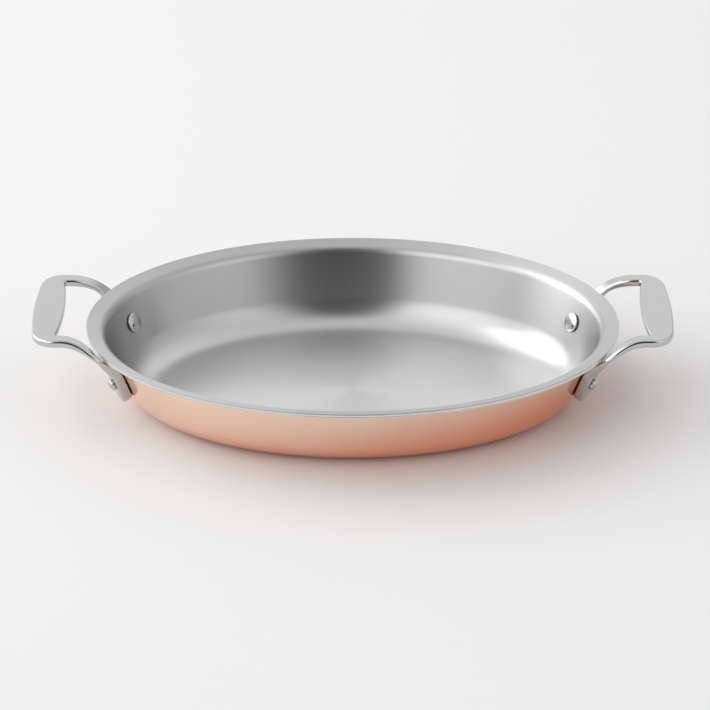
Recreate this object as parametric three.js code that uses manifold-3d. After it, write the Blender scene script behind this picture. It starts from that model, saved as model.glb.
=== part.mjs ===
// Oval gratin pan: a clad metal dish with a flared lip and two cast loop handles, each held by two rivets.
// Millimetres, +Z up, +X along the dish. The origin is the middle of the underside, which rests on the table.

import * as THREE from 'three';
import { mergeVertices } from 'three/addons/utils/BufferGeometryUtils.js';
import Module from 'manifold-3d';

const wasm = await Module();
wasm.setup();

const { degToRad } = THREE.MathUtils;

// Dish: overall sizes, and its section from the lip to the floor as the inside surface has it
const RIM_LENGTH = 330;
const RIM_WIDTH = 241;
const PAN_HEIGHT = 50;
const LIP_WIDTH = 7;
const LIP_RISE = degToRad(15);
const LIP_BEND_RADIUS = 7;
const WALL_LEAN = degToRad(21);
const CORNER_RADIUS = 23.5;

// Clad sheet, from the inside out, with the line of bond between two layers
const STEEL_THICKNESS = 0.6;
const CORE_THICKNESS = 1.2;
const COPPER_THICKNESS = 0.6;
const BOND_LINE = 0.05;

// Handle: a flat grip plate on two bars that dip under the lip and end in tabs against the wall
const HANDLE_REACH = 32.5;
const HANDLE_WIDTH = 93;
const HANDLE_THICKNESS = 4.7;
const HANDLE_RISE = 10;
const HANDLE_EDGE = 1;
const GRIP_DEPTH = 16.2;
const GRIP_CORNER = 20;
const GRIP_INNER_BOW = 3;
const GRIP_OUTER_BOW = 1.2;
const BAR_WIDTH = 9.2;
const BAR_SPLAY = 2.2;
const BAR_SHOULDER = 3.5;
const BAR_DIVE = degToRad(44);
const GRIP_HOLD = 0.45;
const LIP_HOLD = 0.25;
const TAB_HOLD = 0.3;
const TAB_WIDTH = 12.5;
const TAB_THICKNESS = 6.5;
const TAB_ABOVE_RIVET = 4.5;
const TAB_BELOW_RIVET = 14.3;

// Rivets: a low wide head inside the dish, a shank, and a small upset tail outside
const RIVET_DEPTH = 19.2;
const RIVET_SHANK = 6;
const RIVET_HEAD = 13.2;
const RIVET_HEAD_EDGE = 0.6;
const RIVET_HEAD_HEIGHT = 1.7;
const RIVET_TAIL = 7.5;
const RIVET_TAIL_HEIGHT = 2.6;
const RIVET_TAIL_EDGE = 1.9;

// Clearances where one piece lies against or passes through another
const SEAT_GAP = 0.3;
const HOLE_CLEARANCE = 0.3;

// Fineness of the round shapes
const OVAL_STEPS = 64;
const LIP_STEPS = 3;
const CORNER_STEPS = 5;
const RIVET_STEPS = 24;
const DOME_STEPS = 3;
const BAR_STEPS = 6;
const TAB_END_STEPS = 4;
const TAB_END_SWEEP = degToRad(75);
const ARC_STEPS = 6;
const EDGE_STEPS = 2;
const MERGE_DISTANCE = 1e-4;

// Values that follow from the sizes above
const halfLength = RIM_LENGTH / 2;
const halfWidth = RIM_WIDTH / 2;
const sheet = STEEL_THICKNESS + CORE_THICKNESS + COPPER_THICKNESS + 2 * BOND_LINE;
const wallSlope = Math.PI / 2 - WALL_LEAN;

const steel = new THREE.MeshStandardMaterial({ color: 0xb9b9b9, roughness: 0.38, metalness: 1 });
const aluminium = new THREE.MeshStandardMaterial({ color: 0xa9abad, roughness: 0.5, metalness: 1 });
const copper = new THREE.MeshStandardMaterial({ color: 0xd98a68, roughness: 0.2, metalness: 1 });
const castSteel = new THREE.MeshStandardMaterial({ color: 0xc9c9c9, roughness: 0.18, metalness: 1 });

// A closed solid from a geometry: shared corners are merged, and faces that the merge closed up are dropped.
function solidOf(geometry) {
  const bare = geometry.clone();
  bare.deleteAttribute('normal');
  bare.deleteAttribute('uv');
  const merged = mergeVertices(bare, MERGE_DISTANCE);
  const corners = merged.getIndex().array;
  const triangles = [];
  for (let i = 0; i < corners.length; i += 3) {
    const [a, b, c] = corners.slice(i, i + 3);
    if (a !== b && b !== c && c !== a) {
      triangles.push(a, b, c);
    }
  }
  const mesh = new wasm.Mesh({
    numProp: 3,
    vertProperties: new Float32Array(merged.getAttribute('position').array),
    triVerts: new Uint32Array(triangles),
  });
  return new wasm.Manifold(mesh);
}

function geometryOf(solid) {
  const mesh = solid.getMesh();
  const geometry = new THREE.BufferGeometry();
  geometry.setAttribute('position', new THREE.BufferAttribute(mesh.vertProperties, 3));
  geometry.setIndex(new THREE.BufferAttribute(mesh.triVerts, 1));
  geometry.computeVertexNormals();
  return geometry;
}

function namedMesh(name, geometry, material) {
  const mesh = new THREE.Mesh(geometry, material);
  mesh.name = name;
  return mesh;
}

// A point of the rim's ellipse and the outward normal there, by the ellipse's own angle.
function rimPoint(angle) {
  return new THREE.Vector2(halfLength * Math.cos(angle), halfWidth * Math.sin(angle));
}

function rimNormal(angle) {
  return new THREE.Vector2(Math.cos(angle) / halfLength, Math.sin(angle) / halfWidth).normalize();
}

// The dish's section is drawn as (inset, height), where the inset is the distance in from the rim's edge.
// Where the sheet slopes down from level by an angle, this is the direction out through it.
function throughSheet(slope) {
  return new THREE.Vector2(-Math.sin(slope), -Math.cos(slope));
}

const lipInnerEnd = new THREE.Vector2(LIP_WIDTH, PAN_HEIGHT - LIP_WIDTH * Math.tan(LIP_RISE));
const lipBendCentre = lipInnerEnd.clone().addScaledVector(throughSheet(LIP_RISE), LIP_BEND_RADIUS);
const wallTop = lipBendCentre.clone().addScaledVector(throughSheet(wallSlope), -LIP_BEND_RADIUS);
const cornerTopHeight = sheet + CORNER_RADIUS * (1 - Math.cos(wallSlope));
const wallBottomInset = wallTop.x + (wallTop.y - cornerTopHeight) * Math.tan(WALL_LEAN);
const floorEdgeInset = wallBottomInset + CORNER_RADIUS * Math.sin(wallSlope);
const cornerCentre = new THREE.Vector2(floorEdgeInset, sheet + CORNER_RADIUS);

// The section's line at a depth below the inside surface, from the lip's edge to the edge of the flat floor.
function sheetLine(depth) {
  const line = [new THREE.Vector2(0, PAN_HEIGHT - depth / Math.cos(LIP_RISE))];
  for (let i = 0; i <= LIP_STEPS; i += 1) {
    const slope = THREE.MathUtils.lerp(LIP_RISE, wallSlope, i / LIP_STEPS);
    line.push(lipBendCentre.clone().addScaledVector(throughSheet(slope), depth - LIP_BEND_RADIUS));
  }
  for (let i = 0; i <= CORNER_STEPS; i += 1) {
    const slope = wallSlope * (1 - i / CORNER_STEPS);
    line.push(cornerCentre.clone().addScaledVector(throughSheet(slope), CORNER_RADIUS + depth));
  }
  return line;
}

// One layer of the dish between two depths: a turned shape whose rings are laid parallel to the oval rim.
function ovalLayer(innerDepth, outerDepth) {
  const inner = sheetLine(innerDepth);
  const outer = sheetLine(outerDepth);
  const onAxis = (line) => new THREE.Vector2(halfLength, line.at(-1).y);
  const section = [onAxis(outer), ...outer.toReversed(), ...inner, onAxis(inner)];
  const turned = section.map((point) => new THREE.Vector2(halfLength - point.x, point.y));
  const geometry = new THREE.LatheGeometry(turned, OVAL_STEPS);
  const place = geometry.getAttribute('position');
  for (let i = 0; i < place.count; i += 1) {
    const radius = Math.hypot(place.getX(i), place.getZ(i));
    const height = place.getY(i);
    if (radius < MERGE_DISTANCE) {
      place.setXYZ(i, 0, 0, height);
    } else {
      const angle = Math.atan2(place.getX(i), place.getZ(i));
      const point = rimPoint(angle).addScaledVector(rimNormal(angle), radius - halfLength);
      place.setXYZ(i, point.x, point.y, height);
    }
  }
  return geometry;
}

// Handle bars and rivets: where they stand on the wall, on the side of +Y for side 1 and of -Y for side -1
const barMiddle = HANDLE_WIDTH / 2 - BAR_WIDTH / 2;
const tabAngle = Math.asin((barMiddle + BAR_SPLAY) / halfWidth);
const gripInner = halfLength + HANDLE_REACH - GRIP_DEPTH;
const gripTop = PAN_HEIGHT + HANDLE_RISE;

function sided(vector, side) {
  return vector.multiply(new THREE.Vector3(1, side, 1));
}

// On the wall's inside surface at the tab's middle, a distance below the rim.
function wallPoint(below, side) {
  const inset = wallTop.x + (wallTop.y - PAN_HEIGHT + below) * Math.tan(WALL_LEAN);
  const point = rimPoint(tabAngle).addScaledVector(rimNormal(tabAngle), -inset);
  return sided(new THREE.Vector3(point.x, point.y, PAN_HEIGHT - below), side);
}

function wallOutward(side) {
  const normal = rimNormal(tabAngle).multiplyScalar(Math.cos(WALL_LEAN));
  return sided(new THREE.Vector3(normal.x, normal.y, -Math.sin(WALL_LEAN)), side);
}

function wallDown(side) {
  const inward = rimNormal(tabAngle).multiplyScalar(-Math.sin(WALL_LEAN));
  return sided(new THREE.Vector3(inward.x, inward.y, -Math.cos(WALL_LEAN)), side);
}

function wallAcross(side) {
  const normal = rimNormal(tabAngle);
  return sided(new THREE.Vector3(-normal.y, normal.x, 0), side);
}

// A rivet, turned about +Y, which points out of the wall: y = 0 is the wall's inside surface.
// Its flat-backed head stands off a curved wall, by the wall's hollow under the head.
const wallHollow = RIVET_HEAD ** 2 / 8 / (halfWidth ** 2 / halfLength - wallTop.x);
const headSeat = -(wallHollow + SEAT_GAP);
const tabOuter = sheet + SEAT_GAP + TAB_THICKNESS;
const tailSeat = tabOuter + SEAT_GAP;

function rivetGeometry() {
  const headEdge = headSeat - RIVET_HEAD_EDGE;
  const headTop = headSeat - RIVET_HEAD_HEIGHT;
  const tailTop = tailSeat + RIVET_TAIL_HEIGHT;
  const dome = new THREE.QuadraticBezierCurve(
    new THREE.Vector2(0, headTop),
    new THREE.Vector2(RIVET_HEAD / 4, headTop),
    new THREE.Vector2(RIVET_HEAD / 2, headEdge),
  );
  const tail = new THREE.QuadraticBezierCurve(
    new THREE.Vector2(RIVET_TAIL / 2, tailTop - RIVET_TAIL_EDGE),
    new THREE.Vector2(RIVET_TAIL / 2, tailTop),
    new THREE.Vector2(0, tailTop),
  );
  const outline = [
    ...dome.getPoints(DOME_STEPS),
    new THREE.Vector2(RIVET_HEAD / 2, headSeat),
    new THREE.Vector2(RIVET_SHANK / 2, headSeat),
    new THREE.Vector2(RIVET_SHANK / 2, tailSeat),
    new THREE.Vector2(RIVET_TAIL / 2, tailSeat),
    ...tail.getPoints(DOME_STEPS),
  ];
  return new THREE.LatheGeometry(outline, RIVET_STEPS);
}

function placeRivet(object, end, side) {
  const along = new THREE.Vector3(end, 1, 1);
  object.position.copy(wallPoint(RIVET_DEPTH, side)).multiply(along);
  object.quaternion.setFromUnitVectors(new THREE.Vector3(0, 1, 0), wallOutward(side).multiply(along));
  object.updateMatrix();
  return object;
}

// The hole for a rivet, as a pin through the wall and the tab.
function rivetHole(end, side) {
  const length = 2 * tailSeat + RIVET_HEAD;
  const radius = RIVET_SHANK / 2 + HOLE_CLEARANCE;
  const cylinder = new THREE.CylinderGeometry(radius, radius, length, RIVET_STEPS);
  const pin = placeRivet(new THREE.Mesh(cylinder), end, side);
  return solidOf(pin.geometry.applyMatrix4(pin.matrix));
}

// The grip: a plate with round outer corners, bowed on both long edges, with a stub of each bar.
function gripGeometry() {
  const outer = halfLength + HANDLE_REACH;
  const outerEnd = outer - GRIP_OUTER_BOW;
  const stub = gripInner - BAR_SHOULDER;
  const half = HANDLE_WIDTH / 2;
  const inside = half - BAR_WIDTH;
  const turn = Math.min(GRIP_CORNER, outerEnd - stub - 2 * HANDLE_EDGE);
  const outline = new THREE.Shape();
  outline.moveTo(stub, -half);
  outline.lineTo(outerEnd - turn, -half);
  outline.quadraticCurveTo(outerEnd, -half, outerEnd, -half + GRIP_CORNER);
  outline.quadraticCurveTo(outer + GRIP_OUTER_BOW, 0, outerEnd, half - GRIP_CORNER);
  outline.quadraticCurveTo(outerEnd, half, outerEnd - turn, half);
  outline.lineTo(stub, half);
  outline.lineTo(stub, inside);
  outline.lineTo(gripInner, inside);
  outline.quadraticCurveTo(gripInner - 2 * GRIP_INNER_BOW, 0, gripInner, -inside);
  outline.lineTo(stub, -inside);
  const plate = new THREE.ExtrudeGeometry(outline, {
    depth: HANDLE_THICKNESS - 2 * HANDLE_EDGE,
    curveSegments: ARC_STEPS,
    bevelThickness: HANDLE_EDGE,
    bevelSize: HANDLE_EDGE,
    bevelOffset: -HANDLE_EDGE,
    bevelSegments: EDGE_STEPS,
  });
  return plate.translate(0, 0, gripTop - HANDLE_THICKNESS + HANDLE_EDGE);
}

// A smooth bend between two points with a set direction at each. A hold is how far the bend keeps to it, as a
// share of the bend's span.
function bendBetween(from, fromWay, fromHold, to, toWay, toHold) {
  const span = from.distanceTo(to);
  const leave = from.clone().addScaledVector(fromWay, span * fromHold);
  const arrive = to.clone().addScaledVector(toWay, -span * toHold);
  return new THREE.CubicBezierCurve3(from, leave, arrive, to);
}

// Where a bar's upper face dives past the lip's lower edge, just clear of it, and its direction there.
function lipPass(side) {
  const normal = rimNormal(tabAngle);
  const edge = rimPoint(tabAngle).addScaledVector(normal, SEAT_GAP * Math.sin(BAR_DIVE));
  const height = PAN_HEIGHT - sheet / Math.cos(LIP_RISE) - SEAT_GAP * Math.cos(BAR_DIVE);
  const inward = normal.clone().multiplyScalar(-Math.cos(BAR_DIVE));
  return {
    place: sided(new THREE.Vector3(edge.x, edge.y, height), side),
    along: sided(new THREE.Vector3(inward.x, inward.y, -Math.sin(BAR_DIVE)), side),
  };
}

// The stations of one bar: out of the grip, down past the lip, along the wall and round the tab's end.
// Each has a place on the middle of the upper face, which turns to the wall at the tab, the lines across the
// bar and through it, its width and its thickness.
function barStations(side) {
  const level = new THREE.Vector3(-1, 0, 0);
  const under = new THREE.Vector3(0, 0, -1);
  const down = wallDown(side);
  const outward = wallOutward(side);
  const gripAcross = new THREE.Vector3(0, side, 0);
  const tabAcross = wallAcross(side);
  const rivetPlace = wallPoint(RIVET_DEPTH, side).addScaledVector(outward, sheet + SEAT_GAP);
  const tabTop = rivetPlace.clone().addScaledVector(down, -TAB_ABOVE_RIVET);
  const tabEnd = rivetPlace.clone().addScaledVector(down, TAB_BELOW_RIVET);
  const inGrip = new THREE.Vector3(gripInner + BAR_WIDTH / 2, side * barMiddle, gripTop);
  const shoulder = new THREE.Vector3(gripInner - BAR_SHOULDER, side * barMiddle, gripTop);
  const pass = lipPass(side);
  const overBend = bendBetween(shoulder, level, GRIP_HOLD, pass.place, pass.along, LIP_HOLD);
  const underBend = bendBetween(pass.place, pass.along, LIP_HOLD, tabTop, down, TAB_HOLD);
  const thickness = HANDLE_THICKNESS;
  const stations = [{ place: inGrip, across: gripAcross, through: under, width: BAR_WIDTH, thickness }];
  for (let i = 0; i < BAR_STEPS; i += 1) {
    const share = i / BAR_STEPS;
    const across = gripAcross.clone().lerp(tabAcross, share ** 2).normalize();
    stations.push({
      place: overBend.getPoint(share),
      across,
      through: under,
      width: BAR_WIDTH / across.dot(gripAcross),
      thickness,
    });
  }
  for (let i = 0; i <= BAR_STEPS; i += 1) {
    const share = i / BAR_STEPS;
    stations.push({
      place: underBend.getPoint(share),
      across: tabAcross,
      through: under.clone().lerp(outward, share).normalize(),
      width: THREE.MathUtils.lerp(BAR_WIDTH / tabAcross.dot(gripAcross), TAB_WIDTH, share),
      thickness: THREE.MathUtils.lerp(HANDLE_THICKNESS, TAB_THICKNESS, share),
    });
  }
  for (let i = 0; i <= TAB_END_STEPS; i += 1) {
    const angle = (i / TAB_END_STEPS) * TAB_END_SWEEP;
    stations.push({
      place: tabEnd.clone().addScaledVector(down, (TAB_WIDTH / 2) * (Math.sin(angle) - 1)),
      across: tabAcross,
      through: outward,
      width: TAB_WIDTH * Math.cos(angle),
      thickness: TAB_THICKNESS,
    });
  }
  return stations;
}

// The section of a flat bar with softened edges, as distances across and through it from its middle.
function barSection(width, thickness) {
  const half = width / 2;
  const thick = thickness / 2;
  const edge = Math.min(HANDLE_EDGE, half / 2);
  return [
    [half, -thick + edge],
    [half, thick - edge],
    [half - edge, thick],
    [-half + edge, thick],
    [-half, thick - edge],
    [-half, -thick + edge],
    [-half + edge, -thick],
    [half - edge, -thick],
  ];
}

// A bar with that section through its stations, closed at both ends.
function barGeometry(side) {
  const positions = [];
  const faces = [];
  const stations = barStations(side);
  const corners = barSection(BAR_WIDTH, HANDLE_THICKNESS).length;
  for (const { place, across, through, width, thickness } of stations) {
    const middle = place.clone().addScaledVector(through, thickness / 2);
    for (const [wide, deep] of barSection(width, thickness)) {
      const corner = middle.clone().addScaledVector(across, wide).addScaledVector(through, side * deep);
      positions.push(...corner.toArray());
    }
  }
  for (let ring = 0; ring + 1 < stations.length; ring += 1) {
    for (let i = 0; i < corners; i += 1) {
      const a = ring * corners + i;
      const b = ring * corners + (i + 1) % corners;
      faces.push(a, b, b + corners, a, b + corners, a + corners);
    }
  }
  const last = (stations.length - 1) * corners;
  for (let i = 1; i + 1 < corners; i += 1) {
    faces.push(0, i + 1, i);
    faces.push(last, last + i, last + i + 1);
  }
  const geometry = new THREE.BufferGeometry();
  geometry.setAttribute('position', new THREE.Float32BufferAttribute(positions, 3));
  geometry.setIndex(faces);
  return geometry;
}

// The handle at the dish's +X end, with its two rivet holes.
function handleGeometry() {
  let handle = solidOf(gripGeometry());
  for (const side of [1, -1]) {
    handle = handle.add(solidOf(barGeometry(side)));
  }
  for (const side of [1, -1]) {
    handle = handle.subtract(rivetHole(1, side));
  }
  return geometryOf(handle);
}

// A layer of the dish with its four rivet holes.
function drilledLayer(innerDepth, outerDepth) {
  let layer = solidOf(ovalLayer(innerDepth, outerDepth));
  for (const end of [1, -1]) {
    for (const side of [1, -1]) {
      layer = layer.subtract(rivetHole(end, side));
    }
  }
  return geometryOf(layer);
}

const pan = new THREE.Group();

const coreDepth = STEEL_THICKNESS + BOND_LINE;
const copperDepth = coreDepth + CORE_THICKNESS + BOND_LINE;
pan.add(namedMesh('steel_lining', drilledLayer(0, STEEL_THICKNESS), steel));
pan.add(namedMesh('aluminium_core', drilledLayer(coreDepth, coreDepth + CORE_THICKNESS), aluminium));
pan.add(namedMesh('copper_jacket', drilledLayer(copperDepth, sheet), copper));

for (const [name, end] of [['right', 1], ['left', -1]]) {
  const handle = namedMesh(`${name}_handle`, handleGeometry(), castSteel);
  handle.rotation.z = end > 0 ? 0 : Math.PI;
  pan.add(handle);
  for (const [place, side] of [['front', -1], ['rear', 1]]) {
    const rivet = namedMesh(`${name}_${place}_rivet`, rivetGeometry(), castSteel);
    pan.add(placeRivet(rivet, end, side));
  }
}

export default pan;
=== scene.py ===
"""Oval gratin pan: a clad dish, brushed steel inside and copper outside, with two riveted loop handles.

Metres, +Z up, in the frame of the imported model. Each piece is modelled where its node lies, and
replaces it.
"""

import math

import bpy
from bpy.props import FloatProperty, FloatVectorProperty, PointerProperty
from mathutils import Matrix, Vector


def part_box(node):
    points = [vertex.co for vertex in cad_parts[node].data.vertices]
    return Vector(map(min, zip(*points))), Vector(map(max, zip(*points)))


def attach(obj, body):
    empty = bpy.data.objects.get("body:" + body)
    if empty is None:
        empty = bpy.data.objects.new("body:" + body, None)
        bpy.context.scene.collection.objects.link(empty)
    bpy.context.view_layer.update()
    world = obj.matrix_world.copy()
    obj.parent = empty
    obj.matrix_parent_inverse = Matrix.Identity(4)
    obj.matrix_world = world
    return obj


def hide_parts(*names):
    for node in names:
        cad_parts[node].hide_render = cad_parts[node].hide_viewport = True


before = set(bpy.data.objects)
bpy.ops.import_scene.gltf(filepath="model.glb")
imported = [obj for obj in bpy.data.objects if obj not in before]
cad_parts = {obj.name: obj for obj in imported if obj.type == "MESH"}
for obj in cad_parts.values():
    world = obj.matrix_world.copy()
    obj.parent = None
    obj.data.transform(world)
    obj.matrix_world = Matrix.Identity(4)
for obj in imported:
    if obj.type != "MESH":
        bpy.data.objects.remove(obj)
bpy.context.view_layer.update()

bl_info = {
    "name": "Oval gratin pan",
    "version": (1, 0, 0),
    "blender": (4, 5, 0),
    "location": "View3D > Sidebar > Gratin pan",
    "description": "Models an oval clad gratin pan with two riveted loop handles",
    "category": "Object",
}

# The frame's own sizes, from which the defaults come
lining_low, lining_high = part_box("steel_lining")
handle_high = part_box("right_handle")[1]

# Fineness of the round shapes
OVAL_POINTS = 192
RIVET_POINTS = 48
LIP_STEPS = 8
WALL_STEPS = 5
CORNER_STEPS = 14
DOME_STEPS = 8
BEND_STEPS = 14
GRIP_STEPS = 12
EDGE_STEPS = 4
RIM_EDGE_STEPS = 2
RIVET_EDGE_STEPS = 3

# Edges sharper than these are softened, or shaded as edges
SOFTENED_ANGLE = math.radians(40)
SHADED_ANGLE = math.radians(50)

# Points nearer than this are one where a piece is mirrored
MERGE_DISTANCE = 0.00001

# How much of a tab's width each of its end's two corners takes up
TAB_END_SHARE = 0.49


def size_property(name, description, default):
    return FloatProperty(
        name=name, description=description, default=default, subtype="DISTANCE", precision=4
    )


def angle_property(name, description, degrees):
    return FloatProperty(
        name=name, description=description, default=math.radians(degrees), subtype="ANGLE"
    )


def colour_property(name, description, default):
    return FloatVectorProperty(
        name=name, description=description, default=default, size=4, subtype="COLOR", min=0, max=1
    )


def share_property(name, description, default):
    return FloatProperty(
        name=name, description=description, default=default, subtype="FACTOR", min=0, max=1
    )


def level_property(name, description, default):
    return FloatProperty(name=name, description=description, default=default, min=0)


class DishSizes(bpy.types.PropertyGroup):
    """Sizes of the clad dish, whose section is measured on its inside surface."""

    rim_length: size_property("Rim length", "Along the lip's outer edge", lining_high.x - lining_low.x)
    rim_width: size_property("Rim width", "Across the lip's outer edge", lining_high.y - lining_low.y)
    height: size_property("Height", "From the table to the lip's edge", lining_high.z)
    lip_width: size_property("Lip width", "Of the straight part of the flared lip", 0.007)
    lip_rise: angle_property("Lip rise", "How steeply the lip rises outwards", 15)
    lip_bend: size_property("Lip bend", "Radius between the lip and the wall", 0.007)
    wall_lean: angle_property("Wall lean", "How far the wall leans out from upright", 21)
    corner: size_property("Corner", "Radius between the wall and the floor", 0.0235)
    steel: size_property("Steel", "Thickness of the steel lining", 0.0006)
    core: size_property("Core", "Thickness of the aluminium core", 0.0012)
    copper: size_property("Copper", "Thickness of the copper jacket", 0.0006)
    bond: size_property("Bond", "Line of bond between two layers", 0.00005)
    edge: size_property("Edge", "Softened edge of each layer at the rim", 0.0002)


class HandleSizes(bpy.types.PropertyGroup):
    """Sizes of one loop handle: a grip plate on two bars that dip under the lip and end in tabs."""

    reach: size_property("Reach", "From the rim to the grip's outer edge", handle_high.x - lining_high.x)
    rise: size_property("Rise", "Of the grip's top above the rim", handle_high.z - lining_high.z)
    width: size_property("Width", "Over both bars at the grip", 0.093)
    thickness: size_property("Thickness", "Of the grip and the bars, from top to bottom", 0.0047)
    edge: size_property("Edge", "Radius of the softened edges", 0.0016)
    grip_depth: size_property("Grip depth", "From the window to the outer edge", 0.0162)
    grip_corner: size_property("Grip corner", "Reach of the round outer corners", 0.02)
    window_corner: size_property("Window corner", "Radius of the window's corners", 0.0018)
    inner_bow: size_property("Inner bow", "Bow of the grip's edge at the window", 0.003)
    outer_bow: size_property("Outer bow", "Bow of the grip's outer edge", 0.0012)
    bar_width: size_property("Bar width", "Of each bar", 0.0092)
    bar_splay: size_property("Bar splay", "How far the bars spread at the rim", 0.0022)
    shoulder: size_property("Shoulder", "Level run of a bar from the window", 0.0035)
    dive: angle_property("Dive", "Slope of a bar where it passes under the lip", 44)
    grip_hold: share_property("Grip hold", "How far a bar keeps level from the grip", 0.45)
    lip_hold: share_property("Lip hold", "How far a bar keeps its slope at the lip", 0.25)
    tab_hold: share_property("Tab hold", "How far a bar keeps to the wall from the tab", 0.3)
    tab_width: size_property("Tab width", "Of the tab on the wall", 0.0125)
    tab_thickness: size_property("Tab thickness", "Of the tab on the wall", 0.0065)
    tab_above: size_property("Tab above", "Tab above its rivet", 0.0045)
    tab_below: size_property("Tab below", "Tab below its rivet", 0.0143)
    seat_gap: size_property("Seat gap", "Between a tab and the wall", 0.0003)


class RivetSizes(bpy.types.PropertyGroup):
    """Sizes of one rivet: a low head inside the dish, a shank, and an upset tail outside."""

    depth: size_property("Depth", "Below the rim", 0.0192)
    shank: size_property("Shank", "Diameter of the shank", 0.006)
    head: size_property("Head", "Diameter of the head", 0.0123)
    head_edge: size_property("Head edge", "Height of the head's rim", 0.0006)
    head_height: size_property("Head height", "Of the whole head", 0.0017)
    tail: size_property("Tail", "Diameter of the tail", 0.0075)
    tail_height: size_property("Tail height", "Of the whole tail", 0.0026)
    tail_edge: size_property("Tail edge", "Height of the tail's rounding", 0.0019)
    clearance: size_property("Clearance", "Round the shank in its hole", 0.0003)


class Finishes(bpy.types.PropertyGroup):
    """Colours and roughness of the finishes."""

    steel: colour_property("Brushed steel", "Inside of the dish", (0.7, 0.7, 0.7, 1))
    # Painted shade: the wall is coloured darker than the floor, to darken its reflections
    steel_wall_shade: colour_property("Brushed wall", "Inside of the dish's wall", (0.46, 0.46, 0.46, 1))
    steel_rough: share_property("Brushed roughness", "Of the dish's inside", 0.3)
    steel_brush: share_property("Brushed streak", "How far the brushing draws out a highlight", 0.7)
    # Its colour is also painted on the copper near the rim, as a highlight
    aluminium: colour_property("Aluminium", "Cut edge of the core", (0.8, 0.8, 0.8, 1))
    copper: colour_property("Copper", "Outside of the dish", (1.0, 0.75, 0.61, 1))
    # Painted shade: the copper deepens to this colour to the right and downwards, and in random drifts
    copper_drift_and_shade: colour_property("Deep copper", "Darker patches of the outside", (1.0, 0.45, 0.28, 1))
    copper_rough: share_property("Copper roughness", "Of the dish's outside", 0.16)
    polish: colour_property("Polished steel", "Handles and rivets", (0.56, 0.56, 0.56, 1))
    polish_rough: share_property("Polish roughness", "Of the handles and rivets", 0.09)


class StageSettings(bpy.types.PropertyGroup):
    """The floor, the light and the camera."""

    floor_size: size_property("Floor size", "Of the square floor", 60)
    floor: colour_property("Floor", "Colour of the floor", (0.775, 0.775, 0.775, 1))
    camera_distance: size_property("Camera distance", "From the middle of the rim", 2)
    camera_rise: angle_property("Camera rise", "Above the table", 27)
    lens: FloatProperty(
        name="Lens", description="Focal length in millimetres", default=163.5, unit="CAMERA"
    )
    aim_right: size_property("Aim right", "Of the rim's middle", 0.00136)
    aim_below: size_property("Aim below", "Of the rim's middle, in the picture", 0.0208)
    key_power: FloatProperty(
        name="Key power", description="Of the soft key light", default=10.5, unit="POWER"
    )
    key_size: size_property("Key size", "Side of the soft key light", 1.5)
    key_distance: size_property("Key distance", "From the pan to the soft key light", 1.9)
    key_turn: angle_property("Key turn", "Of the key light, to the right from the front", -110)
    key_rise: angle_property("Key rise", "Of the key light above the table", 42)
    room_light: level_property("Room light", "Level of the whole room", 0.83)
    left_light: level_property("Left light", "Added low on the left", 1.5)
    fill_light: level_property("Fill light", "Added high at the front, on both sides of the gap", 0.75)
    side_light: level_property("Side light", "Added high at the front left", 0.5)
    top_shade: level_property("Top shade", "Taken away overhead", 0.1)
    back_light: level_property("Back light", "Added low at the back", 0.15)
    far_shade: level_property("Far shade", "Taken away low at the back right", 0.35)
    gap: angle_property("Gap", "Half the width of the dark gap in front", 18)


class Wire:
    """A node's output that takes part in Python arithmetic. Each operation on it adds a Math node."""

    def __init__(self, tree, socket=None):
        self.tree = tree
        self.socket = socket

    def node(self, kind, settings=None, inputs=None, output=0):
        """A new node of a kind: its settings are set first, then its sockets' values or links."""
        made = self.tree.nodes.new(kind)
        for name, value in (settings or {}).items():
            setattr(made, name, value)
        for name, value in (inputs or {}).items():
            if isinstance(value, Wire):
                self.tree.links.new(value.socket, made.inputs[name])
            else:
                made.inputs[name].default_value = value
        return Wire(self.tree, made.outputs[output] if made.outputs else None)

    def output(self, name):
        """Another output of the same node."""
        return Wire(self.tree, self.socket.node.outputs[name])

    def math(self, operation, *terms):
        return self.node("ShaderNodeMath", {"operation": operation}, dict(enumerate(terms)))

    def step(self, low, high):
        """0 at low and 1 at high, smooth between them."""
        bounds = {"Value": self, "From Min": low, "From Max": high}
        return self.node("ShaderNodeMapRange", {"interpolation_type": "SMOOTHSTEP"}, bounds)

    def __add__(self, other):
        return self.math("ADD", self, other)

    def __radd__(self, other):
        return self.math("ADD", other, self)

    def __sub__(self, other):
        return self.math("SUBTRACT", self, other)

    def __rsub__(self, other):
        return self.math("SUBTRACT", other, self)

    def __mul__(self, other):
        return self.math("MULTIPLY", self, other)

    def __rmul__(self, other):
        return self.math("MULTIPLY", other, self)

    def __pow__(self, other):
        return self.math("POWER", self, other)

    def __rpow__(self, other):
        return self.math("POWER", other, self)

    def __neg__(self):
        return self.math("MULTIPLY", self, -1)


def new_material(name):
    """An empty node material and a wire to start its nodes from."""
    material = bpy.data.materials.new(name)
    material.use_nodes = True
    material.node_tree.nodes.clear()
    return material, Wire(material.node_tree)


# The middle of a noise's values
NOISE_MIDDLE = 0.5

# Heights above the table between which the finishes, the painted shade of the wall and lip, and the painted
# highlight at the rim change
WALL_FOOT = (0.003, 0.013)
LIP_FOOT = (0.047, 0.048)
RIM_HIGHLIGHT_FOOT = (0.0473, 0.0476)

# The brushed inside: its lines in a metre, how far they and the lip change its roughness, and how much
# paler the lip's painted shade is than the wall's
BRUSH_LINES = 900
BRUSH_ROUGH = 0.08
LIP_ROUGH = 0.12
LIP_PALER = 0.4
BRUSH_RELIEF = {"Strength": 0.02, "Distance": 0.0002}

# Lines run round the dish, so its highlights are drawn out a quarter turn from the default
BRUSH_TURN = 0.25


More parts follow.
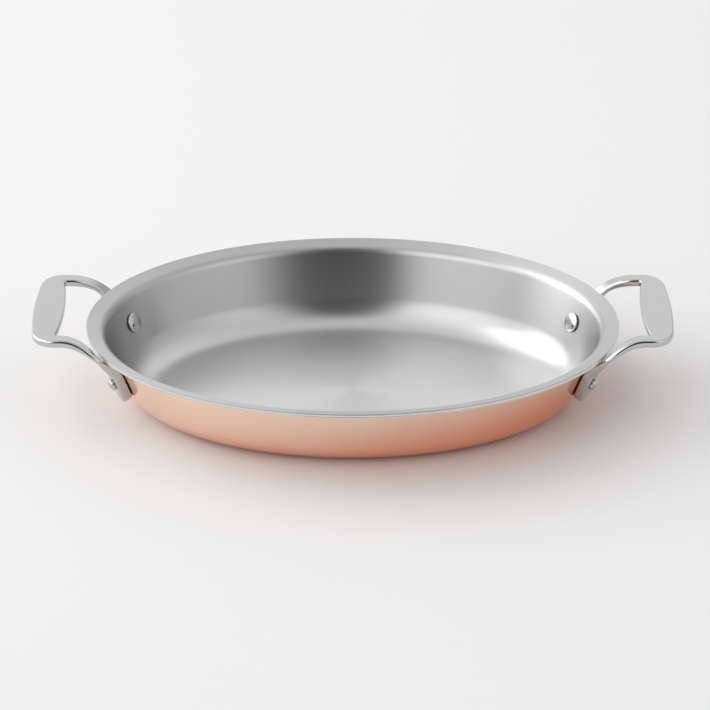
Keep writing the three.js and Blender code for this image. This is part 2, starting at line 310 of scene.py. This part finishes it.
def brushed_steel_material(finishes):
    """Stainless steel with fine lines at one height on the wall, rings on the floor, and painted shade that
    darkens the wall and, less, the lip.
    """
    material, start = new_material("steel_inside")
    place = start.node("ShaderNodeTexCoord", output="Object")
    along = place.node("ShaderNodeSeparateXYZ", inputs={"Vector": place})
    across, up = along.output("Y"), along.output("Z")
    radius = (along ** 2 + across ** 2) ** 0.5
    rings = start.node(
        "ShaderNodeTexNoise",
        {"noise_dimensions": "1D"},
        {"W": radius * BRUSH_LINES + up * BRUSH_LINES, "Scale": 1, "Detail": 3, "Roughness": 0.6},
    )
    lip = up.step(*LIP_FOOT)
    # Painted shade: the wall, and less so the lip, take the darker wall colour
    wall = up.step(*WALL_FOOT) * (1 - lip * LIP_PALER)
    rough = finishes.steel_rough + (rings - NOISE_MIDDLE) * BRUSH_ROUGH + lip * LIP_ROUGH
    colour = start.node(
        "ShaderNodeMix",
        {"data_type": "RGBA"},
        {"Factor": wall, "A": finishes.steel, "B": finishes.steel_wall_shade},
        "Result",
    )
    bump = start.node("ShaderNodeBump", inputs={**BRUSH_RELIEF, "Height": rings})
    shader = start.node(
        "ShaderNodeBsdfPrincipled",
        inputs={
            "Base Color": colour,
            "Metallic": 1.0,
            "Roughness": rough,
            "Anisotropic": finishes.steel_brush,
            "Anisotropic Rotation": BRUSH_TURN,
            "Normal": bump,
        },
    )
    start.node("ShaderNodeOutputMaterial", inputs={"Surface": shader})
    return material


# The core's cut edge: its grain in a metre, its roughness and how far the grain adds to it
ALUMINIUM_GRAIN = 400
ALUMINIUM_ROUGH = 0.3
GRAIN_ROUGH = 0.1


def aluminium_material(finishes):
    """Bare aluminium, which shows only as a line in the rim's cut edge."""
    material, start = new_material("aluminium_edge")
    place = start.node("ShaderNodeTexCoord", output="Object")
    grain = start.node(
        "ShaderNodeTexNoise", inputs={"Vector": place, "Scale": ALUMINIUM_GRAIN, "Detail": 2}
    )
    shader = start.node(
        "ShaderNodeBsdfPrincipled",
        inputs={
            "Base Color": finishes.aluminium,
            "Metallic": 1.0,
            "Roughness": ALUMINIUM_ROUGH + grain * GRAIN_ROUGH,
        },
    )
    start.node("ShaderNodeOutputMaterial", inputs={"Surface": shader})
    return material


# The copper: its drift of colour and its lines in a metre, and how far the lines change its roughness
COPPER_DRIFT = 12
COPPER_LINES = 2500
COPPER_LINE_ROUGH = 0.06
COPPER_BRUSH = 0.6

# Painted shade deepens it downwards and to the right, with a random drift at its edge: the rise along the
# dish, the drift's reach and the whole span
SHADE_LEAN = 0.12
SHADE_DRIFT = 0.02
SHADE_SPAN = (-0.04, 0.004)


def copper_material(finishes):
    """Polished copper with a soft drift of colour, painted shade that deepens it downwards and to the
    right, fine lines along the wall, and a pale band painted at the rim as a highlight.
    """
    material, start = new_material("copper_outside")
    place = start.node("ShaderNodeTexCoord", output="Object")
    along = place.node("ShaderNodeSeparateXYZ", inputs={"Vector": place})
    up = along.output("Z")
    drift = start.node("ShaderNodeTexNoise", inputs={"Vector": place, "Scale": COPPER_DRIFT, "Detail": 2})
    lines = start.node(
        "ShaderNodeTexNoise", {"noise_dimensions": "1D"}, {"W": up * COPPER_LINES, "Scale": 1, "Detail": 2}
    )
    # Painted shade towards the right and the bottom, with a random drift at its edge
    drift_and_shade = (along * SHADE_LEAN - up + (drift - NOISE_MIDDLE) * SHADE_DRIFT).step(*SHADE_SPAN)
    colour = start.node(
        "ShaderNodeMix",
        {"data_type": "RGBA"},
        {"Factor": drift_and_shade, "A": finishes.copper, "B": finishes.copper_drift_and_shade},
        "Result",
    )
    # Painted highlight: near the rim the copper takes the aluminium's pale colour, a white line along the
    # rim's edge
    rim_highlight = start.node(
        "ShaderNodeMix",
        {"data_type": "RGBA"},
        {"Factor": up.step(*RIM_HIGHLIGHT_FOOT), "A": colour, "B": finishes.aluminium},
        "Result",
    )
    shader = start.node(
        "ShaderNodeBsdfPrincipled",
        inputs={
            "Base Color": rim_highlight,
            "Metallic": 1.0,
            "Roughness": finishes.copper_rough + (lines - NOISE_MIDDLE) * COPPER_LINE_ROUGH,
            "Anisotropic": COPPER_BRUSH,
            "Anisotropic Rotation": BRUSH_TURN,
        },
    )
    start.node("ShaderNodeOutputMaterial", inputs={"Surface": shader})
    return material


# The polished castings: their unevenness in a metre, how far it changes the roughness, and its relief
POLISH_CLOUD = 90
CLOUD_ROUGH = 0.06
CLOUD_RELIEF = {"Strength": 0.05, "Distance": 0.0003}


def polished_steel_material(finishes):
    """Cast steel, polished, with a faint unevenness that softens its reflections."""
    material, start = new_material("cast_steel")
    place = start.node("ShaderNodeTexCoord", output="Object")
    cloud = start.node("ShaderNodeTexNoise", inputs={"Vector": place, "Scale": POLISH_CLOUD, "Detail": 3})
    bump = start.node("ShaderNodeBump", inputs={**CLOUD_RELIEF, "Height": cloud})
    shader = start.node(
        "ShaderNodeBsdfPrincipled",
        inputs={
            "Base Color": finishes.polish,
            "Metallic": 1.0,
            "Roughness": finishes.polish_rough + (cloud - NOISE_MIDDLE) * CLOUD_ROUGH,
            "Normal": bump,
        },
    )
    start.node("ShaderNodeOutputMaterial", inputs={"Surface": shader})
    return material


def shared_polish(context):
    """The polished steel of the handles and rivets, made once."""
    made = bpy.data.materials.get("cast_steel")
    return made or polished_steel_material(context.scene.gratin_finishes)


def through_sheet(slope):
    """The direction out through the sheet, as (inset, height), where it slopes down by an angle."""
    return Vector((-math.sin(slope), -math.cos(slope)))


def wall_slope(dish):
    return math.pi / 2 - dish.wall_lean


def sheet_thickness(dish):
    return dish.steel + dish.core + dish.copper + 2 * dish.bond


def lip_bend_centre(dish):
    inner_end = Vector((dish.lip_width, dish.height - dish.lip_width * math.tan(dish.lip_rise)))
    return inner_end + through_sheet(dish.lip_rise) * dish.lip_bend


def wall_top(dish):
    return lip_bend_centre(dish) - through_sheet(wall_slope(dish)) * dish.lip_bend


def corner_centre(dish):
    slope = wall_slope(dish)
    floor = sheet_thickness(dish)
    top = wall_top(dish)
    corner_top = floor + dish.corner * (1 - math.cos(slope))
    wall_foot = top.x + (top.y - corner_top) * math.tan(dish.wall_lean)
    return Vector((wall_foot + dish.corner * math.sin(slope), floor + dish.corner))


def sheet_line(dish, depth):
    """The section's line at a depth below the inside surface, from the lip to the floor.

    Its points are (inset from the rim, height).
    """
    slope = wall_slope(dish)
    lip_centre = lip_bend_centre(dish)
    floor_centre = corner_centre(dish)
    line = [Vector((0, dish.height - depth / math.cos(dish.lip_rise)))]
    for i in range(LIP_STEPS + 1):
        turn = dish.lip_rise + (slope - dish.lip_rise) * i / LIP_STEPS
        line.append(lip_centre + through_sheet(turn) * (depth - dish.lip_bend))
    wall_start = line[-1]
    wall_end = floor_centre + through_sheet(slope) * (dish.corner + depth)
    line += [wall_start.lerp(wall_end, i / WALL_STEPS) for i in range(1, WALL_STEPS)]
    for i in range(CORNER_STEPS + 1):
        turn = slope * (1 - i / CORNER_STEPS)
        line.append(floor_centre + through_sheet(turn) * (dish.corner + depth))
    line.append(line[-1] + Vector((dish.corner / CORNER_STEPS, 0)))
    return line


def select_only(piece):
    bpy.ops.object.select_all(action="DESELECT")
    piece.select_set(True)
    bpy.context.view_layer.objects.active = piece


def edit_vertices(piece, wanted):
    """Opens a piece in edit mode with only the wanted vertices selected."""
    bpy.ops.object.mode_set(mode="EDIT")
    bpy.ops.mesh.select_mode(type="VERT")
    bpy.ops.mesh.select_all(action="DESELECT")
    bpy.ops.object.mode_set(mode="OBJECT")
    for vertex in piece.data.vertices:
        vertex.select = wanted(vertex)
    bpy.ops.object.mode_set(mode="EDIT")


def ring_solid(name, rings, points):
    """A closed solid through level rings about +Z, each (half length, half width, height)."""
    bpy.ops.object.select_all(action="DESELECT")
    bpy.ops.mesh.primitive_circle_add(vertices=points, radius=1, fill_type="NGON")
    piece = bpy.context.object
    piece.name = name
    bpy.ops.object.mode_set(mode="EDIT")
    bpy.ops.mesh.select_all(action="SELECT")
    first = rings[0]
    bpy.ops.transform.resize(value=(first[0], first[1], 1), center_override=(0, 0, 0))
    bpy.ops.transform.translate(value=(0, 0, first[2]))
    for before, after in zip(rings, rings[1:]):
        bpy.ops.mesh.extrude_edges_move(TRANSFORM_OT_translate={"value": (0, 0, after[2] - before[2])})
        growth = (after[0] / before[0], after[1] / before[1], 1)
        bpy.ops.transform.resize(value=growth, center_override=(0, 0, after[2]))
    bpy.ops.mesh.edge_face_add()
    bpy.ops.mesh.select_all(action="SELECT")
    bpy.ops.mesh.normals_make_consistent(inside=False)
    bpy.ops.object.mode_set(mode="OBJECT")
    return piece


def apply_modifier(piece, kind, **settings):
    """Adds a modifier with its settings and applies it."""
    select_only(piece)
    bpy.ops.object.modifier_add(type=kind)
    modifier = piece.modifiers[-1]
    for name, value in settings.items():
        setattr(modifier, name, value)
    bpy.ops.object.modifier_apply(modifier=modifier.name)


def soften_edges(piece, width, segments):
    apply_modifier(
        piece, "BEVEL", width=width, segments=segments, limit_method="ANGLE", angle_limit=SOFTENED_ANGLE
    )


def smooth_faces(piece):
    """Smooth shading in which the broad faces keep their own normals."""
    select_only(piece)
    bpy.ops.object.shade_smooth_by_angle(angle=SHADED_ANGLE)
    apply_modifier(piece, "WEIGHTED_NORMAL", keep_sharp=True)


def finish_piece(piece, material, slot, *nodes):
    """Gives a piece its material, its body and the nodes that it stands for."""
    if not piece.data.polygons:
        raise RuntimeError(f"{piece.name} has no faces")
    piece.data.materials.clear()
    piece.data.materials.append(material)
    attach(piece, "root")
    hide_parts(*nodes)


# Where the right handle's rear bar, its tab and its rivet stand. The others mirror it


def bar_middle(handle):
    return handle.width / 2 - handle.bar_width / 2


def tab_angle(dish, handle):
    """The rim's own angle at which a tab's middle stands."""
    return math.asin((bar_middle(handle) + handle.bar_splay) / (dish.rim_width / 2))


def rim_point(dish, angle):
    return Vector((dish.rim_length / 2 * math.cos(angle), dish.rim_width / 2 * math.sin(angle), 0))


def rim_normal(dish, angle):
    return Vector((math.cos(angle) / dish.rim_length, math.sin(angle) / dish.rim_width, 0)).normalized()


def wall_point(dish, handle, below):
    """On the wall's inside surface behind a tab's middle, a distance below the rim."""
    angle = tab_angle(dish, handle)
    top = wall_top(dish)
    inset = top.x + (top.y - dish.height + below) * math.tan(dish.wall_lean)
    height = Vector((0, 0, dish.height - below))
    return rim_point(dish, angle) - rim_normal(dish, angle) * inset + height


def wall_outward(dish, handle):
    normal = rim_normal(dish, tab_angle(dish, handle)) * math.cos(dish.wall_lean)
    return normal - Vector((0, 0, math.sin(dish.wall_lean)))


def wall_down(dish, handle):
    inward = rim_normal(dish, tab_angle(dish, handle)) * -math.sin(dish.wall_lean)
    return inward - Vector((0, 0, math.cos(dish.wall_lean)))


def plan_angle(vector):
    return math.atan2(vector.y, vector.x)


def bend_points(start, start_way, start_hold, end, end_way, end_hold, steps):
    """Points on a bend between two points. It keeps to each end's direction for a share of its span."""
    span = (end - start).length
    leave = start + start_way * span * start_hold
    arrive = end - end_way * span * end_hold
    points = []
    for i in range(steps + 1):
        t = i / steps
        s = 1 - t
        points.append(start * s ** 3 + leave * 3 * s * s * t + arrive * 3 * s * t * t + end * t ** 3)
    return points


def curve_points(start, middle, end, steps):
    """Points on the curve from start to end that is drawn towards a middle point."""
    points = []
    for i in range(steps + 1):
        t = i / steps
        s = 1 - t
        points.append(start * s * s + middle * 2 * s * t + end * t * t)
    return points


def grip_stations(dish, handle):
    """Level edges on the grip's top, from the bar's shoulder round the grip's corner to its middle."""
    height = dish.height + handle.rise
    outer = dish.rim_length / 2 + handle.reach
    outer_end = outer - handle.outer_bow
    window = outer - handle.grip_depth
    half = handle.width / 2
    inside = half - handle.bar_width
    radius = handle.window_corner
    turn = min(handle.grip_corner, outer_end - window + handle.shoulder - 2 * handle.edge)
    window_turn = Vector((window, inside, height))
    window_middle = Vector((window - 2 * handle.inner_bow, 0, height))
    lower_way = (window_middle - window_turn).normalized()
    inner_turn = curve_points(
        Vector((window - radius, inside, height)), window_turn, window_turn + lower_way * radius, GRIP_STEPS
    )
    outer_turn = curve_points(
        Vector((outer_end - turn, half, height)),
        Vector((outer_end, half, height)),
        Vector((outer_end, half - handle.grip_corner, height)),
        GRIP_STEPS,
    )
    inner_end = Vector((window - handle.inner_bow, 0, height))
    inner_edge = curve_points(
        inner_turn[-1], Vector((window - handle.inner_bow, inside / 2, height)), inner_end, GRIP_STEPS
    )
    outer_edge = curve_points(
        outer_turn[-1],
        Vector((outer, (half - handle.grip_corner) / 2, height)),
        Vector((outer, 0, height)),
        GRIP_STEPS,
    )
    pairs = list(zip(inner_turn, outer_turn)) + list(zip(inner_edge, outer_edge))[1:]
    return [((a + b) / 2, plan_angle(b - a), (b - a).length, handle.thickness) for a, b in pairs]


def mix(start, end, share):
    return start + (end - start) * share


def square_thickness(way, turn, through):
    """The thickness square to a face that runs along a way with a level edge, from a line through it."""
    edge = Vector((math.cos(turn), math.sin(turn), 0))
    return abs(through.dot(way.cross(edge).normalized()))


def bar_stations(dish, handle, rivet):
    """Level edges on a bar's upper face, from the tab's end up the wall and past the lip to the grip."""
    angle = tab_angle(dish, handle)
    normal = rim_normal(dish, angle)
    outward = wall_outward(dish, handle)
    up = -wall_down(dish, handle)
    under = Vector((0, 0, -1))
    tab_turn = plan_angle(normal) + math.pi / 2
    bar_turn = math.pi / 2
    pass_width = handle.bar_width / math.cos(tab_turn - bar_turn)
    sheet = sheet_thickness(dish)
    gap = handle.seat_gap
    rivet_place = wall_point(dish, handle, rivet.depth) + outward * (sheet + gap)
    tab_end = rivet_place - up * handle.tab_below
    tab_top = rivet_place + up * handle.tab_above
    pass_height = dish.height - sheet / math.cos(dish.lip_rise) - gap * math.cos(handle.dive)
    pass_gap = normal * gap * math.sin(handle.dive)
    lip_pass = rim_point(dish, angle) + pass_gap + Vector((0, 0, pass_height))
    pass_way = normal * math.cos(handle.dive) + Vector((0, 0, math.sin(handle.dive)))
    window = dish.rim_length / 2 + handle.reach - handle.grip_depth
    shoulder = Vector((window - handle.shoulder, bar_middle(handle), dish.height + handle.rise))
    level = Vector((1, 0, 0))
    rising = bend_points(tab_top, up, handle.tab_hold, lip_pass, pass_way, handle.lip_hold, BEND_STEPS)
    leaving = bend_points(
        lip_pass, pass_way, handle.lip_hold, shoulder, level, handle.grip_hold, BEND_STEPS
    )
    stations = [(tab_end, tab_turn, handle.tab_width, handle.tab_thickness)]
    for i, place in enumerate(rising):
        share = i / BEND_STEPS
        width = mix(handle.tab_width, pass_width, share)
        way = rising[min(i + 1, BEND_STEPS)] - rising[max(i - 1, 0)]
        thickness = mix(handle.tab_thickness, handle.thickness, share)
        through = outward.lerp(under, share).normalized() * thickness
        stations.append((place, tab_turn, width, square_thickness(way, tab_turn, through)))
    for i, place in enumerate(leaving[1:], 1):
        turn = mix(bar_turn, tab_turn, (1 - i / BEND_STEPS) ** 2)
        width = handle.bar_width / math.cos(turn - bar_turn)
        way = leaving[min(i + 1, BEND_STEPS)] - leaving[i - 1]
        stations.append((place, turn, width, square_thickness(way, turn, under * handle.thickness)))
    return stations


def weigh_selected(weight):
    """Gives the selected vertices a weight in the piece's own vertex group."""
    bpy.context.scene.tool_settings.vertex_group_weight = weight
    bpy.ops.object.vertex_group_assign()


def sweep_edge(name, stations):
    """A ribbon drawn by a level edge through its stations, each (middle, turn about +Z, width, thickness).

    Its vertex group keeps each station's share of the greatest thickness.
    """
    thickest = max(station[3] for station in stations)
    bpy.ops.object.select_all(action="DESELECT")
    bpy.ops.mesh.primitive_plane_add(size=1)
    piece = bpy.context.object
    piece.name = name
    bpy.ops.object.vertex_group_add()
    # Only the plane's front edge is kept, and moved to the middle
    edit_vertices(piece, lambda vertex: vertex.co.y > 0)
    bpy.ops.mesh.delete(type="VERT")
    bpy.ops.mesh.select_all(action="SELECT")
    middle, turn, width, thickness = stations[0]
    bpy.ops.transform.translate(value=(0, 0.5, 0))
    bpy.ops.transform.resize(value=(width, width, width), center_override=(0, 0, 0))
    bpy.ops.transform.rotate(value=-turn, orient_axis="Z", center_override=(0, 0, 0))
    bpy.ops.transform.translate(value=middle)
    weigh_selected(thickness / thickest)
    for before, after in zip(stations, stations[1:]):
        middle = after[0]
        growth = after[2] / before[2]
        bpy.ops.mesh.extrude_edges_move(TRANSFORM_OT_translate={"value": middle - before[0]})
        bpy.ops.transform.rotate(value=before[1] - after[1], orient_axis="Z", center_override=middle)
        bpy.ops.transform.resize(value=(growth, growth, growth), center_override=middle)
        weigh_selected(after[3] / thickest)
    bpy.ops.object.mode_set(mode="OBJECT")
    return piece


def round_tab_end(piece, handle):
    """Rounds the two corners at the ribbon's first edge into a half circle."""
    edit_vertices(piece, lambda vertex: vertex.index < 2)
    reach = handle.tab_width * TAB_END_SHARE
    bpy.ops.mesh.bevel(offset=reach, affect="VERTICES", segments=DOME_STEPS)
    bpy.ops.object.mode_set(mode="OBJECT")


def rivet_rings(dish, handle, rivet):
    """The rings of a rivet along +Z, which points out of the wall from zero on its inside surface."""
    end_radius = dish.rim_width ** 2 / 2 / dish.rim_length - wall_top(dish).x
    hollow = rivet.head ** 2 / 8 / end_radius
    seat = -(hollow + handle.seat_gap)
    tail_seat = sheet_thickness(dish) + handle.tab_thickness + 2 * handle.seat_gap
    tail_top = tail_seat + rivet.tail_height
    rings = []
    for i in range(1, DOME_STEPS + 1):
        turn = math.pi / 2 * i / DOME_STEPS
        rise = rivet.head_height - rivet.head_edge
        rings.append((rivet.head / 2 * math.sin(turn), seat - rivet.head_edge - rise * math.cos(turn)))
    rings.append((rivet.head / 2, seat))
    rings.append((rivet.shank / 2, seat))
    rings.append((rivet.shank / 2, tail_seat))
    rings.append((rivet.tail / 2, tail_seat))
    for i in range(DOME_STEPS):
        turn = math.pi / 2 * i / DOME_STEPS
        height = tail_top - rivet.tail_edge * (1 - math.sin(turn))
        rings.append((rivet.tail / 2 * math.cos(turn), height))
    return [(radius, radius, height) for radius, height in rings]


def place_on_wall(piece, dish, handle, rivet, end, side):
    """Turns a piece modelled along +Z to stand out of the wall at a rivet's place, and applies that."""
    mirror = Vector((end, side, 1))
    piece.location = wall_point(dish, handle, rivet.depth) * mirror
    outward = wall_outward(dish, handle) * mirror
    piece.rotation_mode = "QUATERNION"
    piece.rotation_quaternion = Vector((0, 0, 1)).rotation_difference(outward)
    select_only(piece)
    bpy.ops.object.transform_apply(location=True, rotation=True, scale=True)


def drill_rivet_holes(piece, dish, handle, rivet, ends):
    """Cuts a hole for each rivet through a layer or a tab."""
    length = rivet.head + sheet_thickness(dish) + handle.tab_thickness
    for end in ends:
        for side in (1, -1):
            bpy.ops.object.select_all(action="DESELECT")
            bpy.ops.mesh.primitive_cylinder_add(
                vertices=RIVET_POINTS, radius=rivet.shank / 2 + rivet.clearance, depth=2 * length
            )
            drill = bpy.context.object
            place_on_wall(drill, dish, handle, rivet, end, side)
            apply_modifier(piece, "BOOLEAN", operation="DIFFERENCE", solver="EXACT", object=drill)
            bpy.data.objects.remove(drill)


def model_layer(context, name, inner_depth, outer_depth):
    """One layer of the clad sheet, between two depths below the inside surface."""
    dish = context.scene.gratin_dish
    line = sheet_line(dish, outer_depth)[::-1] + sheet_line(dish, inner_depth)
    rings = [(dish.rim_length / 2 - p.x, dish.rim_width / 2 - p.x, p.y) for p in line]
    layer = ring_solid(name, rings, OVAL_POINTS)
    soften_edges(layer, dish.edge, RIM_EDGE_STEPS)
    drill_rivet_holes(layer, dish, context.scene.gratin_handle, context.scene.gratin_rivet, (1, -1))
    smooth_faces(layer)
    return layer


class GRATIN_OT_steel_lining(bpy.types.Operator):
    """Model the brushed steel inside of the dish"""

    bl_idname = "gratin.steel_lining"
    bl_label = "Steel lining"

    def execute(self, context):
        dish = context.scene.gratin_dish
        lining = model_layer(context, "lining", 0, dish.steel)
        material = brushed_steel_material(context.scene.gratin_finishes)
        finish_piece(lining, material, "brushed_steel", "steel_lining")
        return {"FINISHED"}


class GRATIN_OT_aluminium_core(bpy.types.Operator):
    """Model the aluminium core between the two layers that show"""

    bl_idname = "gratin.aluminium_core"
    bl_label = "Aluminium core"

    def execute(self, context):
        dish = context.scene.gratin_dish
        top = dish.steel + dish.bond
        core = model_layer(context, "core", top, top + dish.core)
        material = aluminium_material(context.scene.gratin_finishes)
        finish_piece(core, material, "aluminium", "aluminium_core")
        return {"FINISHED"}


class GRATIN_OT_copper_jacket(bpy.types.Operator):
    """Model the copper outside of the dish"""

    bl_idname = "gratin.copper_jacket"
    bl_label = "Copper jacket"

    def execute(self, context):
        dish = context.scene.gratin_dish
        sheet = sheet_thickness(dish)
        jacket = model_layer(context, "jacket", sheet - dish.copper, sheet)
        material = copper_material(context.scene.gratin_finishes)
        finish_piece(jacket, material, "copper", "copper_jacket")
        return {"FINISHED"}


class GRATIN_OT_handles(bpy.types.Operator):
    """Model the two cast loop handles"""

    bl_idname = "gratin.handles"
    bl_label = "Handles"

    def execute(self, context):
        dish = context.scene.gratin_dish
        sizes = context.scene.gratin_handle
        rivet = context.scene.gratin_rivet
        stations = bar_stations(dish, sizes, rivet) + grip_stations(dish, sizes)
        right = sweep_edge("handle_right", stations)
        round_tab_end(right, sizes)
        apply_modifier(right, "MIRROR", use_axis=(False, True, False), merge_threshold=MERGE_DISTANCE)
        apply_modifier(
            right,
            "SOLIDIFY",
            thickness=sizes.tab_thickness,
            vertex_group=right.vertex_groups[0].name,
            offset=-1,
            use_even_offset=True,
        )
        soften_edges(right, sizes.edge, EDGE_STEPS)
        drill_rivet_holes(right, dish, sizes, rivet, (1,))
        smooth_faces(right)
        select_only(right)
        bpy.ops.object.duplicate(linked=False)
        left = bpy.context.object
        left.name = "handle_left"
        left.rotation_euler = (0, 0, math.pi)
        bpy.ops.object.transform_apply(location=True, rotation=True, scale=True)
        finish_piece(right, shared_polish(context), "polished_steel", "right_handle")
        finish_piece(left, shared_polish(context), "polished_steel", "left_handle")
        return {"FINISHED"}


class GRATIN_OT_rivets(bpy.types.Operator):
    """Model the four rivets"""

    bl_idname = "gratin.rivets"
    bl_label = "Rivets"

    def execute(self, context):
        dish = context.scene.gratin_dish
        handle = context.scene.gratin_handle
        sizes = context.scene.gratin_rivet
        model = ring_solid("rivet", rivet_rings(dish, handle, sizes), RIVET_POINTS)
        soften_edges(model, dish.edge, RIVET_EDGE_STEPS)
        smooth_faces(model)
        for end_name, end in (("right", 1), ("left", -1)):
            for side_name, side in (("front", -1), ("rear", 1)):
                select_only(model)
                bpy.ops.object.duplicate(linked=False)
                rivet = bpy.context.object
                rivet.name = f"rivet_{end_name}_{side_name}"
                place_on_wall(rivet, dish, handle, sizes, end, side)
                node = f"{end_name}_{side_name}_rivet"
                finish_piece(rivet, shared_polish(context), "polished_steel", node)
        bpy.data.objects.remove(model)
        return {"FINISHED"}


def floor_material(stage):
    """A plain pale floor."""
    material, start = new_material("pale_floor")
    shader = start.node(
        "ShaderNodeBsdfPrincipled",
        inputs={"Base Color": stage.floor, "Roughness": 0.9, "Specular IOR Level": 0.0},
    )
    start.node("ShaderNodeOutputMaterial", inputs={"Surface": shader})
    return material


# The room's lights. A way is shares of right, back and up, and an edge is where along it a light starts
# and where it is full. The gap's edges are in half widths of the gap
LEFT_BACK = 0.3
LEFT_EDGE = (0.7, 1.0)
FILL_EDGE = (0.1, 0.6)
FILL_LOW_EDGE = (0.2, 0.42)
FILL_HIGH_EDGE = (0.75, 0.95)
FILL_RIGHT_EDGE = (0.0, 0.5)
FILL_RIGHT_CUT = 0.4
SIDE_WAY = (-0.5, -0.43, 0.75)
SIDE_EDGE = (0.7, 1.0)
BACK_EDGE = (0.4, 0.95)
FAR_WAY = (0.75, 0.66)
FAR_EDGE = (0.78, 0.97)
FAR_HIGH_EDGE = (0.3, 0.7)
TOP_EDGE = (0.8, 0.95)
GAP_LEFT_EDGE = (0.6, 1.3)
GAP_RIGHT_EDGE = (0.8, 2.2)
GAP_HIGH_EDGE = (0.97, 0.999)
GAP_DARKNESS = 0.95


def light_the_world(scene, stage):
    """A soft studio: bright on the left, fair on the right, and a dark gap round the camera's side."""
    world = bpy.data.worlds.new("studio")
    world.use_nodes = True
    world.node_tree.nodes.clear()
    scene.world = world
    start = Wire(world.node_tree)
    way = start.node("ShaderNodeTexCoord", output="Generated")
    right = way.node("ShaderNodeSeparateXYZ", inputs={"Vector": way})
    back, up = right.output("Y"), right.output("Z")
    low_left = (back * LEFT_BACK - right).step(*LEFT_EDGE) * stage.left_light
    fill = (-back).step(*FILL_EDGE) * up.step(*FILL_LOW_EDGE) * (1 - up.step(*FILL_HIGH_EDGE))
    fill = fill * (1 - right.step(*FILL_RIGHT_EDGE) * FILL_RIGHT_CUT) * stage.fill_light
    side = right * SIDE_WAY[0] + back * SIDE_WAY[1] + up * SIDE_WAY[2]
    front_left = side.step(*SIDE_EDGE) * stage.side_light
    behind = back.step(*BACK_EDGE) * stage.back_light
    far = (right * FAR_WAY[0] + back * FAR_WAY[1]).step(*FAR_EDGE)
    far_right = far * (1 - up.step(*FAR_HIGH_EDGE)) * stage.far_shade
    above = up.step(*TOP_EDGE) * stage.top_shade
    turn = right.math("ARCTAN2", right, -back)
    gap_left = 1 - (-turn).step(*(stage.gap * edge for edge in GAP_LEFT_EDGE))
    gap_right = 1 - turn.step(*(stage.gap * edge for edge in GAP_RIGHT_EDGE))
    gap = gap_left * gap_right * (1 - up.step(*GAP_HIGH_EDGE))
    room = stage.room_light - above + low_left + fill + front_left + behind - far_right
    level = room * (1 - gap * GAP_DARKNESS)
    sky = start.node("ShaderNodeBackground", inputs={"Color": (1, 1, 1, 1), "Strength": level})
    start.node("ShaderNodeOutputWorld", inputs={"Surface": sky})


def add_floor(stage):
    bpy.ops.mesh.primitive_plane_add(size=stage.floor_size)
    floor = bpy.context.object
    floor.name = "floor"
    floor.data.materials.append(floor_material(stage))


def add_key_light(stage):
    level_way = Vector((math.sin(stage.key_turn), -math.cos(stage.key_turn), 0))
    key_way = level_way * math.cos(stage.key_rise) + Vector((0, 0, math.sin(stage.key_rise)))
    key_aim = key_way.to_track_quat("Z", "Y").to_euler()
    bpy.ops.object.light_add(type="AREA", location=key_way * stage.key_distance, rotation=key_aim)
    key = bpy.context.object
    key.name = "key_light"
    key.data.shape = "SQUARE"
    key.data.size = stage.key_size
    key.data.energy = stage.key_power


def add_camera(scene, stage, dish):
    rim_middle = Vector((0, 0, dish.height))
    rise = stage.camera_rise
    picture_up = Vector((0, math.sin(rise), math.cos(rise)))
    eye = rim_middle + Vector((0, -math.cos(rise), math.sin(rise))) * stage.camera_distance
    aim = rim_middle + Vector((stage.aim_right, 0, 0)) - picture_up * stage.aim_below
    turn = (eye - aim).to_track_quat("Z", "Y").to_euler()
    bpy.ops.object.camera_add(location=eye, rotation=turn)
    camera = bpy.context.object
    camera.data.lens = stage.lens
    scene.camera = camera


class GRATIN_OT_stage(bpy.types.Operator):
    """Set the floor, the light and the camera"""

    bl_idname = "gratin.stage"
    bl_label = "Stage"

    def execute(self, context):
        scene = context.scene
        stage = scene.gratin_stage
        bpy.ops.object.select_all(action="DESELECT")
        add_floor(stage)
        light_the_world(scene, stage)
        add_key_light(stage)
        add_camera(scene, stage, scene.gratin_dish)
        scene.view_settings.view_transform = "Standard"
        return {"FINISHED"}


class GRATIN_PT_panel(bpy.types.Panel):
    """The steps that model the gratin pan"""

    bl_idname = "GRATIN_PT_panel"
    bl_label = "Gratin pan"
    bl_space_type = "VIEW_3D"
    bl_region_type = "UI"
    bl_category = "Gratin pan"

    def draw(self, context):
        for step in STEPS:
            self.layout.operator(step.bl_idname)


SETTINGS = {
    "gratin_dish": DishSizes,
    "gratin_handle": HandleSizes,
    "gratin_rivet": RivetSizes,
    "gratin_finishes": Finishes,
    "gratin_stage": StageSettings,
}
STEPS = (
    GRATIN_OT_stage,
    GRATIN_OT_steel_lining,
    GRATIN_OT_aluminium_core,
    GRATIN_OT_copper_jacket,
    GRATIN_OT_handles,
    GRATIN_OT_rivets,
)


def register():
    for kind in (*SETTINGS.values(), *STEPS, GRATIN_PT_panel):
        bpy.utils.register_class(kind)
    for name, kind in SETTINGS.items():
        setattr(bpy.types.Scene, name, PointerProperty(type=kind))


def unregister():
    for name in SETTINGS:
        delattr(bpy.types.Scene, name)
    for kind in reversed((*SETTINGS.values(), *STEPS, GRATIN_PT_panel)):
        bpy.utils.unregister_class(kind)


def main():
    register()
    bpy.ops.gratin.stage()
    bpy.ops.gratin.steel_lining()
    bpy.ops.gratin.aluminium_core()
    bpy.ops.gratin.copper_jacket()
    bpy.ops.gratin.handles()
    bpy.ops.gratin.rivets()


if __name__ == "__main__":
    main()
